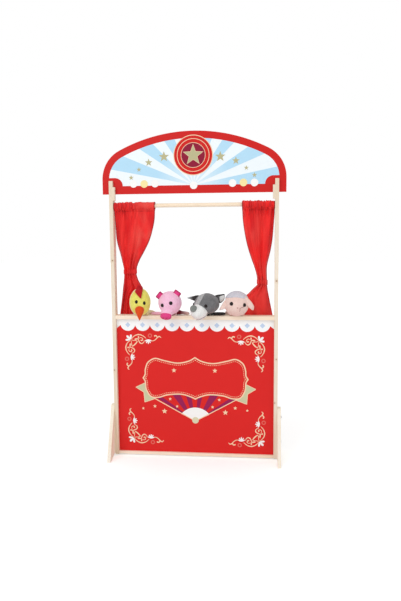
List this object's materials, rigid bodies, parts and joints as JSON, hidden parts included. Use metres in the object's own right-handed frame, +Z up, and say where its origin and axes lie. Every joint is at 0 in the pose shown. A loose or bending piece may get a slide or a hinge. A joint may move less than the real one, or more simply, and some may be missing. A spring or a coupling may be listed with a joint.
{
  "type": "puppet theatre",
  "caption": "Floor-standing wooden puppet theatre with an arched header board, curtains on a rod, a stage shelf over a painted panel, splayed foot boards and glove puppets.",
  "frame": {"origin": "on the floor, midway between the two foot boards", "axes": "+Z up, -Y towards the audience, +X to the audience's right"},
  "size_m": [0.636, 0.18, 1.1499],
  "materials": {
    "birch": "clear satin varnish",
    "header_paint": "satin paint",
    "panel_paint": "satin paint",
    "steel": "zinc plated",
    "curtain_cloth": "soft cotton cloth",
    "chick_felt": "felt",
    "comb_felt": "felt",
    "beak_felt": "felt",
    "eye_felt": "glossy bead",
    "pig_felt": "felt",
    "pig_trim": "felt",
    "dog_felt": "felt",
    "dog_muzzle_felt": "felt",
    "dog_dark_felt": "felt",
    "lamb_felt": "felt",
    "lamb_wool": "woolly felt"
  },
  "bodies": {
    "theatre": {"left_post": "birch", "right_post": "birch", "left_header_block": "birch", "right_header_block": "birch", "header_board": "header_paint", "front_panel": "panel_paint", "stage_shelf": "birch", "bottom_rail": "birch", "left_foot": "birch", "right_foot": "birch", "foot_bolts": "steel", "foot_nuts": "steel", "shelf_screws": "steel", "block_screws": "steel", "rail_dowels": "birch", "curtain_rod": "birch"},
    "left_curtain": {"left_curtain": "curtain_cloth", "left_tie_back": "curtain_cloth"},
    "right_curtain": {"right_curtain": "curtain_cloth", "right_tie_back": "curtain_cloth"},
    "chick": {"chick_head": "chick_felt", "chick_comb": "comb_felt", "chick_beak": "beak_felt", "chick_eyes": "eye_felt", "chick_glove": "chick_felt"},
    "pig": {"pig_head": "pig_felt", "pig_snout": "pig_trim", "pig_ears": "pig_trim", "pig_eyes": "eye_felt", "pig_glove": "pig_felt"},
    "dog": {"dog_head": "dog_felt", "dog_muzzle": "dog_muzzle_felt", "dog_nose": "dog_dark_felt", "dog_ears": "dog_dark_felt", "dog_eyes": "eye_felt", "dog_glove": "dog_felt"},
    "lamb": {"lamb_head": "lamb_felt", "lamb_cap": "lamb_wool", "lamb_ears": "lamb_felt", "lamb_eyes": "eye_felt", "lamb_glove": "lamb_felt"}
  },
  "joints": [
    {"name": "left_curtain_slide", "type": "slide", "parent": "theatre", "child": "left_curtain", "axis": [1, 0, 0], "range_m": [0, 0.03]},
    {"name": "right_curtain_slide", "type": "slide", "parent": "theatre", "child": "right_curtain", "axis": [-1, 0, 0], "range_m": [0, 0.035]},
    {"name": "chick_lift", "type": "slide", "parent": "theatre", "child": "chick", "axis": [0, 0, 1], "range_m": [0, 0.06]},
    {"name": "pig_lift", "type": "slide", "parent": "theatre", "child": "pig", "axis": [0, 0, 1], "range_m": [0, 0.06]},
    {"name": "dog_lift", "type": "slide", "parent": "theatre", "child": "dog", "axis": [0, 0, 1], "range_m": [0, 0.06]},
    {"name": "lamb_lift", "type": "slide", "parent": "theatre", "child": "lamb", "axis": [0, 0, 1], "range_m": [0, 0.06]}
  ]
}
